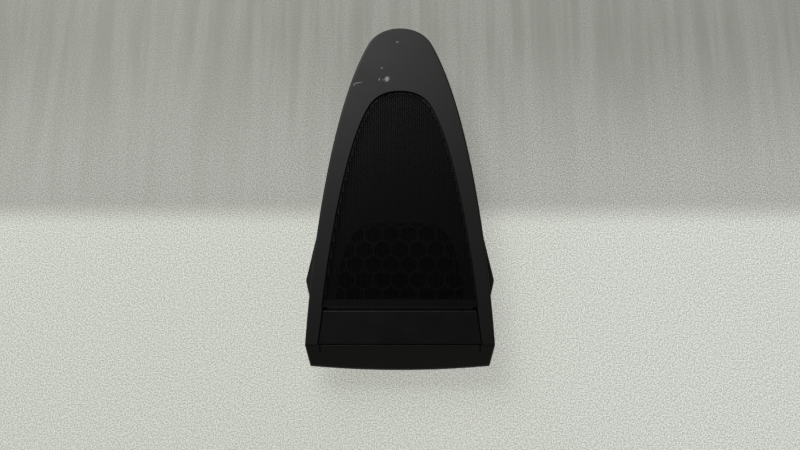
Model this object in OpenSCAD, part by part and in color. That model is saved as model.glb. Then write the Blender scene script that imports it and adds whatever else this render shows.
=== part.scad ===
// Dash-top centre tweeter unit: bezel, grille, lower cover, carrier and a dome tweeter.
// X is the width, +Y points to the nose, +Z points out of the face.
// The origin is under the middle of the unit, on the plane that its spring clips stand on.
// Stations along the unit are distances from the nose tip, turned into Y by at().

/* [Face] */
// Length from the nose tip to the lower edge of the front lip
unit_l = 348; // [344:1:356]
// Half of the face's width at the fold
fold_half_w = 90.2; // [89.6:0.1:91]
// Height of the face's crest above the plane that the clips stand on
crown_h = 42; // [41:0.5:46]
// Radius of the face's lengthwise crown
crown_r = 2400; // [2200:100:4000]
// Slope of the front lip below the horizontal
lip_angle = 40; // [34:1:42]
// Length of the front lip along Y, from the fold to its lower edge
lip_reach = 23; // [20:1:24]

/* [Bezel] */
// Thickness of the bezel's face
shell_t = 2.6; // [2.2:0.1:3]
// Thickness of the bezel's skirt
skirt_t = 2.5; // [2:0.1:3]
// Height of the bezel's skirt, measured down from the face
skirt_h = 6.2; // [5.5:0.1:6.2]
// Width of the cross bar under the grille
bar_w = 3.3; // [3:0.1:4]
// Gap round the lower cover
cover_gap = 0.9; // [0.6:0.1:1.2]

/* [Grille] */
// Depth of the grille under the face
mesh_drop = 1.8; // [1.4:0.1:2]
// Thickness of the perforated sheet
mesh_t = 0.8; // [0.6:0.1:1]

/* [Carrier] */
// Height of the underside of the carrier's plate
plate_z = 31; // [30.8:0.1:31]
// Thickness of the carrier's plate
plate_t = 2.5; // [2.3:0.1:2.5]
// Distance between neighbouring honeycomb cells
cell_pitch = 17.4; // [16.8:0.1:18]
// Thickness of the honeycomb's ribs
cell_rib = 2.3; // [1.8:0.1:3]
// Distance between the two fixing screws
fixing_span = 110; // [104:1:116]
// Bore of the fixing sleeves
fixing_bore = 5.5; // [5:0.1:6]

/* [Tweeter] */
// Diameter of the soft dome
dome_d = 25; // [24.6:0.1:25.2]
// Height of the soft dome
dome_rise = 5.6; // [4.5:0.1:6]
// Height of the magnet
magnet_h = 5; // [4:0.5:5.5]

/* [Hidden] */
$fn = 48;

// stations along the unit, as distances from the nose tip
crest_s = 178;
fold_s = unit_l - lip_reach;
cover_end_s = fold_s - cover_gap;
grille_s = 71.2;
grille_end_s = fold_s - 36.7;
bar_end_s = grille_end_s + bar_w;
cover_s = bar_end_s + cover_gap;
window_s = 206;
window_end_s = 280.7;
tweeter_s = 247.7;
fixing_s = 308;
pin_s = 50;
function at(s) = unit_l / 2 - s;

// heights of the face
function crown_z(s) = crown_h - pow(s - crest_s, 2) / (2 * crown_r);
function face_z(s) = s <= fold_s ? crown_z(s) : crown_z(fold_s) - (s - fold_s) * tan(lip_angle);
lip_z = face_z(unit_l);
lip_return = 1.5;
sky = 60;

// outline of the face, as Bezier curves of [half width, station]
corner_cut = 3.9;
lip_bow = 3.8;
outline_nose = [[0, 0], [8, 0], [24.5, 2.5], [33, 19]];
outline_side = [[33, 19], [77.5, 106], [fold_half_w - 1.2, fold_s - 24], [fold_half_w, fold_s]];
grille_nose = [[0, grille_s], [5, grille_s], [21.2, grille_s], [30.6, grille_s + 15.2]];
grille_side = [[30.6, grille_s + 15.2], [59.3, 133.2], [74, grille_end_s - 6], [74.5, grille_end_s]];
window_side = [[23.7, window_s], [52, window_s + 2], [59, window_s + 34], [61.4, window_end_s]];
cover_half_w = [73.2, 77.1];
ear_points = [[76, 205], [79.8, 211], [90.9, 262.5], [90.7, 264.5], [86.5, 282], [76, 282]];

// the lattice behind the grille
cell_r = (cell_pitch - cell_rib) / sqrt(3);
row_pitch = cell_pitch * sqrt(3) / 2;
lattice_h = 4;
lattice_s = tweeter_s - row_pitch;

// carrier details
plate_top = plate_z + plate_t;
edge_gap = 0.7;
rib_t = 2;
screw_r = 1.5;
screw_spots = [[20, 40], [55, 120], [65.5, 178], [76.2, 250], [79.5, 305]];
clip_spots = [[40, 108], [70, 272]];
blade = [3, 14];
blade_tip_z = 0.8;
boss_r = 9;
boss_z = 12;
sleeve_r = 3.8;
head_well_r = 6.5;
head_well_z = 26;
pin_r = 3;
pin_z = 12;
pin_shoulder_z = 22;
tab_spots = [[30, cover_s + 2.6], [30, cover_end_s - 3.4]];
tab = [10, 1.6];

// ledge inside the bezel at the fold: past the cover's side, along the unit, and under the face
ledge_side = 2.4;
ledge_reach = [3.4, 8];
ledge_depth = [2.9, 4];
ledge_merge = 0.1;

// tweeter stack, from the lattice down
cloth_t = 0.4;
rim_w = 2;
cloth_z = plate_top - lattice_h - cloth_t;
gasket_z = [28.3, cloth_z];
faceplate_t = 5.5;
faceplate_z = gasket_z[0] - faceplate_t;
faceplate_r = 30;
ear_spot = [cell_pitch * 1.5, row_pitch * 4 / 3];
ear_r = 5;
post_r = 3.2;
mouth_r = 23.5;
throat_r = 15.8;
frame_z = [faceplate_z - 1.3, faceplate_z - 0.1];
gap_top_z = frame_z[0];
pole_t = 2.5;
pole_r = dome_d / 2 - 0.3;
yoke_wall_r = dome_d / 2 + 0.95;
yoke_r = 17;
yoke_t = 3;
magnet_z = gap_top_z - pole_t - magnet_h;
yoke_z = magnet_z - yoke_t;
vent_r = 3;
cup_r = 24;
cup_t = 2;
cup_z = 3;
dome_r = dome_d / 2 + 0.15;
dome_z = faceplate_z;
dome_t = 0.4;
former_t = 0.1;
coil_t = 0.35;
coil_h = 2;
roll_r = 1.45;
frame_r_in = 15;
terminal_z = 14;
terminal_x = 5.5;
blade_w = 4.8;
board_t = 4;

// where the wiring sits, as [X, station]
socket_spot = [46, 176];
socket = [20, 15, 18];
socket_wall = 2;
socket_floor = 4;
capacitor_x = 8;
capacitor_s = 176;
capacitor_r = 4.5;
capacitor_l = 22;
capacitor_z = 25;
lead_d = 1.6;
lead_in_route = [[35.8, 1, 29], [33.8, 1, 29], [30, -0.8, 27], [27, -2, 25], [25.15, -2, 25]];
lead_on_route = [
    [-9.15, -2, 25], [-11, -2, 25], [-14, -5, 24.6], [-15, -11, 23.4],
    [-14, -20, 22], [-9, -28.5, 17], [-5.5, -33.3, 14], [-5.5, -35, 14]
];
lead_back_route = [
    [35.8, -5, 29], [33.8, -5, 29], [30, -9.5, 27.5], [27, -17, 25],
    [18, -24, 22], [9, -29.5, 16.5], [5.5, -33.3, 14], [5.5, -35, 14]
];

// ---- shared shapes ----

function bezier(p, t) =
    pow(1 - t, 3) * p[0] + 3 * pow(1 - t, 2) * t * p[1] + 3 * (1 - t) * t * t * p[2] + t * t * t * p[3];
function curve(p, steps) = [for (i = [0 : steps - 1]) bezier(p, i / steps)];
function reversed(list) = [for (i = [len(list) - 1 : -1 : 0]) list[i]];
function placed(half) = [for (p = half) [p[0], at(p[1])]];
function mirrored(half) = [for (p = reversed(half)) if (p[0] > 0) [-p[0], at(p[1])]];

// a closed, mirror-symmetric plan from a list of [half width, station]
module plan(half) {
    polygon(concat(placed(half), mirrored(half)));
}

function outline_half() = concat(
    curve(outline_nose, 8),
    curve(outline_side, 22),
    [[fold_half_w, fold_s], [fold_half_w - corner_cut, unit_l - lip_bow]],
    [for (i = [5 : -1 : 0]) let (x = (fold_half_w - corner_cut) * i / 6) [x, bow_s(x)]]
);
function bow_s(x) = unit_l - lip_bow * pow(x / (fold_half_w - corner_cut), 2);

module outline() {
    plan(outline_half());
}

module grille_opening() {
    plan(concat(curve(grille_nose, 8), curve(grille_side, 18), [[74.5, grille_end_s]]));
}

module prism(z0 = -1, z1 = sky) {
    translate([0, 0, z0])
        linear_extrude(z1 - z0)
            children();
}

// a ring of constant width inside a plan
module plan_ring(outer, inner) {
    difference() {
        offset(delta = outer) children();
        offset(delta = inner) children();
    }
}

// everything between two depths under the face, across the whole width
module slab(top, bottom, floor_z = -100) {
    steps = 26;
    start_s = -4;
    stations = concat(
        [for (i = [0 : steps]) start_s + (fold_s - start_s) * i / steps],
        [unit_l + 1]
    );
    upper = [for (s = stations) [at(s), face_z(s) - top]];
    lower = [for (s = reversed(stations)) [at(s), max(face_z(s) - bottom, floor_z)]];
    rotate([90, 0, 90])
        linear_extrude(2 * fold_half_w + 20, center = true)
            polygon(concat(upper, lower));
}

// the part of the plan between two stations
module between(s0, s1) {
    translate([-fold_half_w - 10, at(s1)])
        square([2 * fold_half_w + 20, s1 - s0]);
}

// a piece repeated at [x, s] and mirrored in X
module both_sides(spots) {
    for (p = spots, side = [-1, 1])
        translate([side * p[0], at(p[1]), 0]) children();
}

module tube(r_out, r_in, z0, z1) {
    translate([0, 0, z0])
        difference() {
            cylinder(r = r_out, h = z1 - z0);
            translate([0, 0, -1]) cylinder(r = r_in, h = z1 - z0 + 2);
        }
}

module block(x, y, z0, z1) {
    translate([-x / 2, -y / 2, z0]) cube([x, y, z1 - z0]);
}

module at_tweeter() {
    translate([0, at(tweeter_s), 0]) children();
}

// a bent strip of sheet metal, as the outline round its centre line
function unit(v) = v / norm(v);
function tangent(line, i) =
    unit(line[min(i + 1, len(line) - 1)] - line[max(i - 1, 0)]);
function side_point(line, i, d) = line[i] + d * [-tangent(line, i)[1], tangent(line, i)[0]];
module strip(line, t) {
    polygon(concat(
        [for (i = [0 : len(line) - 1]) side_point(line, i, t / 2)],
        [for (i = [len(line) - 1 : -1 : 0]) side_point(line, i, -t / 2)]
    ));
}

// a round lead swept along a smooth route through [x, y, z] points
function route_point(p, i) = p[max(0, min(len(p) - 1, i))];
function smooth(p, i, t) =
    let (a = route_point(p, i - 1), b = p[i], c = p[i + 1], d = route_point(p, i + 2))
    0.5 * (2 * b + (c - a) * t + (2 * a - 5 * b + 4 * c - d) * t * t + (3 * b - a - 3 * c + d) * t * t * t);
module lead(route, d, sides = 8, steps = 5) {
    line = concat(
        [for (i = [0 : len(route) - 2], k = [0 : steps - 1]) smooth(route, i, k / steps)],
        [route[len(route) - 1]]
    );
    rings = len(line);
    points = [
        for (i = [0 : rings - 1])
            let (
                t = tangent(line, i),
                across = unit(cross(t, [0.1, 0.2, 1])),
                up = cross(across, t)
            )
            for (k = [0 : sides - 1])
                line[i] + d / 2 * (cos(360 * k / sides) * across + sin(360 * k / sides) * up)
    ];
    walls = [
        for (i = [0 : rings - 2], k = [0 : sides - 1])
            let (a = i * sides + k, b = i * sides + (k + 1) % sides)
            [a, a + sides, b + sides, b]
    ];
    start_cap = [for (k = [0 : sides - 1]) k];
    end_cap = [for (k = [sides - 1 : -1 : 0]) (rings - 1) * sides + k];
    polyhedron(points, concat([start_cap, end_cap], walls));
}

// ---- housing ----

module bezel_screw_bosses() {
    intersection() {
        both_sides(screw_spots)
            translate([0, 0, plate_top + 0.1]) cylinder(r = 3.3, h = 10);
        slab(1, sky);
    }
}

module bezel_openings() {
    opening = [
        [cover_half_w[0] + cover_gap, grille_end_s - 0.1],
        [cover_half_w[0] + cover_gap, bar_end_s],
        [cover_half_w[1] + cover_gap, fold_s]
    ];
    prism() grille_opening();
    prism() plan(opening);
    for (side = [-1, 1])
        translate([side * (cover_half_w[1] - 1.1), at(fold_s + 2.75), 0])
            block(1, 7.5, 0, sky);
    intersection() {
        prism()
            intersection() {
                offset(delta = 3.2) grille_opening();
                between(0, grille_end_s);
            }
        slab(mesh_drop - 0.1, 20);
    }
}

module bezel() color("#3a3b39") {
    difference() {
        union() {
            intersection() {
                prism() outline();
                slab(0, shell_t);
            }
            intersection() {
                prism() plan_ring(0, -skirt_t) outline();
                slab(0.5, skirt_h, lip_z - lip_return);
            }
            bezel_screw_bosses();
        }
        bezel_openings();
        both_sides(screw_spots)
            translate([0, 0, plate_top - 1]) cylinder(r = screw_r, h = 4);
    }
    intersection() {
        prism() plan([[cover_half_w[0] + 2.5, grille_end_s], [cover_half_w[0] + 2.5, bar_end_s]]);
        slab(1.2, 4.5);
    }
    cover_ledge();
}

// ledge under the lower cover's front edge, which also closes the slits from below
module cover_ledge() {
    ledge_x = cover_half_w[1] + ledge_side;
    intersection() {
        prism() plan([[ledge_x, fold_s], [ledge_x, fold_s + ledge_reach[1]]]);
        slab(shell_t - ledge_merge, ledge_depth[1]);
    }
    intersection() {
        prism() plan([[ledge_x, fold_s - ledge_reach[0]], [ledge_x, fold_s + ledge_merge]]);
        slab(ledge_depth[0], ledge_depth[1]);
    }
}

module grille_mesh() color("#191919") {
    intersection() {
        prism()
            intersection() {
                offset(delta = 3) grille_opening();
                between(0, grille_end_s - 0.2);
            }
        slab(mesh_drop, mesh_drop + mesh_t);
    }
}

module lower_cover() color("#1c1c1c") {
    intersection() {
        prism() plan([[cover_half_w[0], cover_s], [cover_half_w[1], cover_end_s]]);
        slab(0.3, 2.8);
    }
    for (k = [0, 1])
        intersection() {
            both_sides([tab_spots[k]]) {
                block(tab[0], tab[1], plate_z - 2.4, sky);
                translate([0, (1 - 2 * k) * 0.5, 0])
                    block(tab[0], tab[1] + 1, plate_z - 2.4, plate_z - 0.1);
            }
            slab(2, sky);
        }
}

module cover_felt() color("#2a2a2c") {
    for (s = [300, 310])
        intersection() {
            prism() plan([[44, s], [44, s + 5]]);
            slab(2.8, 4.1);
        }
}

module window_cells() {
    rows = [-2 : 4];
    for (row = rows, column = [-4 : 4])
        translate([
            (column + 0.5 * abs(row % 2)) * cell_pitch,
            at(lattice_s + row * row_pitch)
        ])
            rotate(90) circle(r = cell_r, $fn = 6);
}

module window() {
    plan(concat(curve(window_side, 12), [window_side[3]]));
}

module carrier_plan() {
    difference() {
        union() {
            intersection() {
                offset(delta = -skirt_t - edge_gap) outline();
                between(16, fold_s - 3);
            }
            for (side = [-1, 1])
                polygon([for (p = ear_points) [side * p[0], at(p[1])]]);
        }
        intersection() {
            window();
            window_cells();
        }
        for (k = [0, 1], side = [-1, 1])
            translate([side * tab_spots[k][0], at(tab_spots[k][1]) + (1 - 2 * k) * 0.6])
                square([tab[0] + 1, tab[1] + 2], center = true);
    }
}

// rim round the window, down to the cloth
module window_rim() {
    prism(cloth_z + cloth_t, plate_z + 0.2)
        plan_ring(rim_w, -0.2) window();
}

module clamp_rib() {
    intersection() {
        prism(plate_top - 0.2)
            intersection() {
                plan_ring(rib_t + 0.5, 0.5) grille_opening();
                between(0, grille_end_s - 0.4);
            }
        slab(mesh_drop + mesh_t + 0.1, sky);
    }
}

module stiffening_ribs() {
    prism(plate_z - 3.5, plate_z + 0.2)
        intersection() {
            offset(delta = -12) outline();
            union() {
                for (x = [-20, 20])
                    translate([x - 0.8, at(160)]) square([1.6, 114]);
                for (s = [74, 126, 160])
                    between(s, s + 1.6);
            }
        }
}

module blades() {
    both_sides(clip_spots) {
        block(blade[0], blade[1], blade_tip_z, plate_z + 0.2);
        block(12, 2, plate_z - 7, plate_z + 0.2);
    }
}

module nose_tongue() {
    translate([0, at(28.5), 0]) block(24, 3, 22, plate_z + 0.2);
    translate([0, at(19), 0]) block(24, 22, 22, 24.5);
}

module locating_pin() {
    translate([0, at(pin_s), 0]) {
        translate([0, 0, pin_shoulder_z])
            cylinder(r = pin_r + 2, h = plate_z + 0.2 - pin_shoulder_z);
        translate([0, 0, pin_z + 1]) cylinder(r = pin_r, h = pin_shoulder_z - pin_z);
        translate([0, 0, pin_z]) cylinder(r1 = pin_r - 0.8, r2 = pin_r, h = 1);
    }
}

module tweeter_ears() {
    at_tweeter()
        for (x = [-1, 1], y = [-1, 1])
            translate([x * ear_spot[0], y * ear_spot[1], 0]) children();
}

module fixing_spots() {
    both_sides([[fixing_span / 2, fixing_s]]) children();
}

module carrier() color("#222223") {
    difference() {
        union() {
            prism(plate_z, plate_top) carrier_plan();
            prism(plate_top - lattice_h, plate_z + 0.2)
                difference() {
                    window();
                    window_cells();
                }
            window_rim();
            clamp_rib();
            stiffening_ribs();
            blades();
            nose_tongue();
            locating_pin();
            tweeter_ears()
                translate([0, 0, gasket_z[0]]) cylinder(r = post_r, h = plate_top - gasket_z[0]);
            fixing_spots()
                translate([0, 0, boss_z]) cylinder(r = boss_r, h = plate_top - boss_z);
            translate([socket_spot[0], at(socket_spot[1]), 0])
                for (side = [-1, 1])
                    translate([side * (socket[0] / 2 + 1.2), 0, 0])
                        block(1.6, 3, plate_z - 7, plate_z + 0.2);
        }
        tweeter_ears()
            translate([0, 0, gasket_z[0] - 1]) cylinder(r = screw_r, h = plate_top - gasket_z[0]);
        fixing_spots() {
            translate([0, 0, boss_z - 1]) cylinder(r = sleeve_r, h = sky);
            translate([0, 0, head_well_z]) cylinder(r = head_well_r, h = sky);
        }
        both_sides(screw_spots)
            translate([0, 0, plate_z - 5]) cylinder(r = screw_r + 0.2, h = 10);
    }
}

module perimeter_seal() color("#1b1b1b") {
    prism(plate_z - 2.8, plate_z)
        intersection() {
            plan_ring(-skirt_t - edge_gap - 0.2, -skirt_t - edge_gap - 1.8) outline();
            between(18, fold_s - 5);
        }
}

// a pan-head screw with a cross recess, its head below the given height
module pan_screw(head_z, tip_z, head_r = 2.8, head_h = 2) {
    difference() {
        translate([0, 0, head_z - head_h]) cylinder(r = head_r, h = head_h);
        for (a = [0, 90])
            rotate(a) block(3.2, 0.8, head_z - head_h - 1, head_z - head_h + 1);
    }
    translate([0, 0, head_z]) cylinder(r = screw_r - 0.02, h = tip_z - head_z - 1);
    translate([0, 0, tip_z - 1]) cylinder(r1 = screw_r - 0.02, r2 = 0.6, h = 1);
}

module carrier_screws() color("#4a4a4c") {
    both_sides(screw_spots) pan_screw(plate_z, plate_top + 2.9);
}

module fixing_sleeves() color("#b9babc") {
    fixing_spots() tube(sleeve_r - 0.02, fixing_bore / 2, boss_z - 0.5, head_well_z);
}

module spring_clips() color("#8e8f92") {
    t = 0.5;
    leg_x = blade[0] / 2 + 0.3;
    leg = [[leg_x, t / 2], [leg_x, 5], [leg_x + 3, 13], [leg_x + 0.4, 20], [leg_x + 1.6, 23]];
    line = concat([for (p = reversed(leg)) [-p[0], p[1]]], leg);
    both_sides(clip_spots)
        rotate([90, 0, 0])
            linear_extrude(blade[1] - 2, center = true)
                strip(line, t);
}

// ---- tweeter ----

module dust_cloth() color("#101011") {
    difference() {
        prism(cloth_z, cloth_z + cloth_t)
            offset(delta = rim_w) window();
        tweeter_ears()
            translate([0, 0, cloth_z - 1]) cylinder(r = post_r + 0.3, h = cloth_t + 2);
    }
}

module tweeter_faceplate() color("#262628") {
    flange_z = gasket_z[0] - 3;
    at_tweeter()
        difference() {
            union() {
                rotate_extrude()
                    polygon([
                        [throat_r, faceplate_z], [cup_r + 2, faceplate_z],
                        [cup_r + 2, flange_z], [faceplate_r, flange_z],
                        [faceplate_r, gasket_z[0]], [mouth_r, gasket_z[0]],
                        [throat_r, faceplate_z + 1]
                    ]);
                for (x = [-1, 1], y = [-1, 1])
                    translate([x * ear_spot[0], y * ear_spot[1], flange_z]) {
                        cylinder(r = ear_r, h = 3);
                        rotate(atan2(-y * ear_spot[1], -x * ear_spot[0]))
                            translate([0, -ear_r, 0]) cube([6, 2 * ear_r, 3]);
                    }
            }
            for (x = [-1, 1], y = [-1, 1])
                translate([x * ear_spot[0], y * ear_spot[1], flange_z - 1])
                    cylinder(r = screw_r + 0.2, h = 5);
        }
}

module tweeter_gasket() color("#161616") {
    at_tweeter() tube(faceplate_r - 0.8, mouth_r + 2, gasket_z[0], gasket_z[1]);
}

module tweeter_screws() color("#4a4a4c") {
    tweeter_ears() pan_screw(gasket_z[0] - 3, plate_top - 1.6);
}

module dome() color("#121214") {
    big_r = (dome_r * dome_r + dome_rise * dome_rise) / (2 * dome_rise);
    at_tweeter()
        intersection() {
            translate([0, 0, dome_z + dome_rise - big_r])
                difference() {
                    sphere(r = big_r);
                    sphere(r = big_r - dome_t);
                }
            translate([0, 0, dome_z]) cylinder(r = dome_r + 1, h = dome_rise + 1);
        }
}

module surround() color("#151517") {
    roll_x = dome_r + roll_r;
    at_tweeter()
        rotate_extrude() {
            difference() {
                translate([roll_x, dome_z]) circle(r = roll_r);
                translate([roll_x, dome_z]) circle(r = roll_r - 0.3);
                translate([0, dome_z - 5]) square([30, 5]);
            }
            translate([roll_x + roll_r - 0.3, frame_z[1]]) square([2.2, dome_z - frame_z[1]]);
        }
}

module coil_former() color("#c9a24a") {
    at_tweeter() tube(dome_r, dome_r - former_t, gap_top_z - pole_t - 0.4, dome_z);
}

module voice_coil() color("#b5653a") {
    mid_z = gap_top_z - pole_t / 2;
    at_tweeter() tube(dome_r + coil_t, dome_r, mid_z - coil_h / 2, mid_z + coil_h / 2);
}

module lead_outs() color("#b5653a") {
    at_tweeter()
        for (a = [90, 270])
            rotate(a)
                translate([dome_r, -0.3, frame_z[0] + 0.4])
                    cube([frame_r_in - dome_r, 0.6, 0.2]);
}

module diaphragm_frame() color("#303033") {
    at_tweeter() tube(cup_r - cup_t - 0.05, frame_r_in, frame_z[0], frame_z[1]);
}

module damping_pad() color("#3a3a3c") {
    at_tweeter() tube(pole_r - 2.2, vent_r + 1, gap_top_z, gap_top_z + 1.5);
}

module top_plate() color("#9a9ca0") {
    at_tweeter() tube(pole_r, vent_r, gap_top_z - pole_t, gap_top_z);
}

module magnet() color("#c3c5c9") {
    at_tweeter() tube(pole_r - 0.5, vent_r, magnet_z, magnet_z + magnet_h);
}

module yoke() color("#a9abb0") {
    at_tweeter()
        rotate_extrude()
            polygon([
                [vent_r, yoke_z], [yoke_r, yoke_z], [yoke_r, gap_top_z],
                [yoke_wall_r, gap_top_z], [yoke_wall_r, magnet_z], [vent_r, magnet_z]
            ]);
}

module rear_cup() color("#202022") {
    inner_r = cup_r - cup_t;
    shelf_z = yoke_z - 2;
    seat_r = yoke_r + 0.05;
    at_tweeter()
        rotate_extrude()
            polygon([
                [0, cup_z], [cup_r - 1.5, cup_z], [cup_r, cup_z + 1.5], [cup_r, faceplate_z],
                [inner_r, faceplate_z], [inner_r, yoke_z], [seat_r + 1.5, yoke_z],
                [seat_r + 1.5, yoke_z + 3], [seat_r, yoke_z + 3], [seat_r, yoke_z],
                [10, yoke_z], [10, shelf_z], [inner_r, shelf_z], [inner_r, cup_z + cup_t],
                [0, cup_z + cup_t]
            ]);
}

module cup_absorber() color("#2b2b2e") {
    at_tweeter()
        translate([0, 0, cup_z + cup_t])
            cylinder(r = cup_r - cup_t - 0.3, h = yoke_z - 2 - cup_z - cup_t - 0.3);
}

// ---- wiring ----

// two copies, on the left and right of the terminal board
module both_terminals() {
    for (side = [-1, 1])
        translate([side * terminal_x, at(tweeter_s) + cup_r + board_t, terminal_z]) children();
}

module terminal_board() color("#2d2926") {
    difference() {
        at_tweeter()
            difference() {
                translate([0, cup_r + board_t - 4, 0]) block(20, 8, terminal_z - 5, terminal_z + 5);
                translate([0, 0, -1]) cylinder(r = cup_r + 0.02, h = sky);
            }
        both_terminals() cube([blade_w + 0.04, 6, 0.84], center = true);
    }
}

module terminals() color("#c8b36a") {
    both_terminals()
        translate([0, 2.5, 0]) cube([blade_w, 11, 0.8], center = true);
}

module lead_receptacles() color("#d8d4c8") {
    both_terminals()
        translate([0, 6, 0])
            difference() {
                cube([blade_w + 2.4, 9, 3.4], center = true);
                translate([0, -1.5, 0]) cube([blade_w + 0.06, 9, 0.86], center = true);
            }
}

module along_capacitor() {
    translate([capacitor_x, at(capacitor_s), capacitor_z]) rotate([0, 90, 0]) children();
}

module capacitor() color("#27406b") {
    along_capacitor() {
        cylinder(r = capacitor_r, h = capacitor_l - 5, center = true);
        for (side = [-1, 1])
            translate([0, 0, side * (capacitor_l / 2 - 1.25)])
                cylinder(r = capacitor_r - 0.4, h = 2.5, center = true);
    }
}

module capacitor_leads() color("#c4c6c8") {
    along_capacitor()
        for (side = [-1, 1])
            translate([0, 0, side * (capacitor_l / 2 + 3)])
                cylinder(r = 0.4, h = 6, center = true);
}

module capacitor_pad() color("#3b3b3d") {
    difference() {
        translate([capacitor_x, at(capacitor_s), 0])
            block(capacitor_l - 7, 8, capacitor_z + 2.6, plate_z);
        along_capacitor() cylinder(r = capacitor_r + 0.03, h = capacitor_l, center = true);
    }
}

module connector_socket() color("#e4e1d6") {
    inner = [socket[0] - 2 * socket_wall, socket[1] - 2 * socket_wall];
    socket_z = plate_z - socket[2];
    translate([socket_spot[0], at(socket_spot[1]), 0])
        difference() {
            union() {
                block(socket[0], socket[1], socket_z, plate_z);
                translate([0, socket[1] / 2 + 0.6, 0]) block(6, 1.2, socket_z + 3, socket_z + 8);
            }
            block(inner[0], inner[1], socket_z - 1, plate_z - socket_floor);
            socket_pins(0.02);
        }
}

// the two square pins, with a gap round them
module socket_pins(gap) {
    size = 1 + 2 * gap;
    for (side = [-1, 1])
        translate([side * 2.5, 0, 0]) block(size, size, plate_z - 11, plate_z - 2 + gap);
}

module connector_pins() color("#c9a24a") {
    translate([socket_spot[0], at(socket_spot[1]), 0]) socket_pins(0);
}

module lead_positive() color("#8a2b26") {
    lead(lead_in_route, lead_d);
    lead(lead_on_route, lead_d);
}

module lead_negative() color("#232323") {
    lead(lead_back_route, lead_d);
}

// a post beside a lead with a lip under it, at one point of the lead's route
module lead_hook(route, i) {
    p = route[i];
    heading = route[i + 1] - route[i - 1];
    translate([p[0], p[1], 0])
        rotate(atan2(heading[1], heading[0])) {
            translate([0, 1.8, 0]) block(3, 1.4, p[2] - 2.6, plate_z);
            translate([0, 0.2, 0]) block(3, 4.6, p[2] - 2.6, p[2] - 1.4);
        }
}

module lead_clips() color("#e9e9e4") {
    lead_hook(lead_on_route, 3);
    lead_hook(lead_back_route, 3);
}

bezel();
grille_mesh();
lower_cover();
cover_felt();
carrier();
perimeter_seal();
carrier_screws();
fixing_sleeves();
spring_clips();
dust_cloth();
tweeter_faceplate();
tweeter_gasket();
tweeter_screws();
dome();
surround();
coil_former();
voice_coil();
lead_outs();
diaphragm_frame();
damping_pad();
top_plate();
magnet();
yoke();
rear_cup();
cup_absorber();
terminal_board();
terminals();
lead_receptacles();
capacitor();
capacitor_leads();
capacitor_pad();
connector_socket();
connector_pins();
lead_positive();
lead_negative();
lead_clips();
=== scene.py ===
"""Looks for the dash-top centre tweeter unit.

The bezel, the perforated grille, the lower cover and the acoustic cloth are built here in detail.
Every other part is the frame's own mesh with a procedural finish.
"""

import math

import bmesh
import bpy
import numpy as np
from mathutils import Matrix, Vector
from mathutils.geometry import delaunay_2d_cdt


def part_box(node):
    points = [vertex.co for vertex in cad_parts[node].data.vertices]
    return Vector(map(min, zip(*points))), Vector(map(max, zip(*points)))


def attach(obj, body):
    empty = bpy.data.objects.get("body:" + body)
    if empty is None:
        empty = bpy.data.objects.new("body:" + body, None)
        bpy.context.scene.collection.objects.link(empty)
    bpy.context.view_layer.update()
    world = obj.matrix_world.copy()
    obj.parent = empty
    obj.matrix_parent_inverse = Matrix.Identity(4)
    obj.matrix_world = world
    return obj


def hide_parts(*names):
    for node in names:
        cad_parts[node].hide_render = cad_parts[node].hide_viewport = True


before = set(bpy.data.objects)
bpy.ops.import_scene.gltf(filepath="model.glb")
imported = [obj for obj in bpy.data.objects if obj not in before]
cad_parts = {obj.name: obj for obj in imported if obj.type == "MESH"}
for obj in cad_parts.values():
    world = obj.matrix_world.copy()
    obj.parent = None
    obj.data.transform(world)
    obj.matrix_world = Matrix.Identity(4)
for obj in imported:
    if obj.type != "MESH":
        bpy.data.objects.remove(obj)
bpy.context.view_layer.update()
MM = 0.001

# ---------------------------------------------------------------- shape of the face, in millimetres
bezel_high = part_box("bezel")[1]
HALF_L = bezel_high.y / MM
CREST_Z = bezel_high.z / MM
CREST_S = 178.0
CROWN_R = 2400.0
FOLD_S = 325.0
FOLD_BLEND = 1.6
LIP_SLOPE = math.tan(math.radians(40))
END_S = 2 * HALF_L
GRILLE_END_S = 288.3
BAR_END_S = 291.6
MESH_DROP = 1.8
MESH_T = 0.8
SHELL_T = 2.6
SKIRT_T = 2.5
SKIRT_H = 6.2
LIP_TAPER = 3.9
LIP_BOW = 3.8
LIP_RETURN = 1.5
BAR_HALF_W = 75.6
COVER_S = (292.5, 324.1)
COVER_HALF_W = (73.2, 77.1)
COVER_OPENING_HALF_W = (74.1, 78.0)
SLIT_X = (75.5, 76.5)
SLIT_END_S = 331.5

OUTLINE_NOSE = [(0, 0), (8, 0), (24.5, 2.5), (33, 19)]
OUTLINE_SIDE = [(33, 19), (77.5, 106), (89, 301), (90.2, 325)]
GRILLE_NOSE = [(0, 71.2), (5, 71.2), (21.2, 71.2), (30.6, 86.4)]
GRILLE_SIDE = [(30.6, 86.4), (59.3, 133.2), (74, 282.3), (74.5, 288.3)]


def crown(s):
    return CREST_Z - (s - CREST_S) ** 2 / (2 * CROWN_R)


def face_z(s):
    """Height of the face at a station, with the fold between crown and lip rounded."""
    if s <= FOLD_S - FOLD_BLEND:
        return crown(s)
    sharp = crown(min(s, FOLD_S)) - max(s - FOLD_S, 0.0) * LIP_SLOPE
    if s >= FOLD_S + FOLD_BLEND:
        return sharp
    crown_slope = (FOLD_S - CREST_S) / CROWN_R
    u = (s - FOLD_S + FOLD_BLEND) / (2 * FOLD_BLEND)
    return sharp - (LIP_SLOPE - crown_slope) * FOLD_BLEND * (u * u - max(2 * u - 1, 0.0))


def smoothstep(a, b, v):
    t = min(max((v - a) / (b - a), 0.0), 1.0)
    return t * t * (3 - 2 * t)


def bezier(p, t):
    w = ((1 - t) ** 3, 3 * (1 - t) ** 2 * t, 3 * (1 - t) * t * t, t**3)
    return (sum(a * q[0] for a, q in zip(w, p)), sum(a * q[1] for a, q in zip(w, p)))


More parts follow.
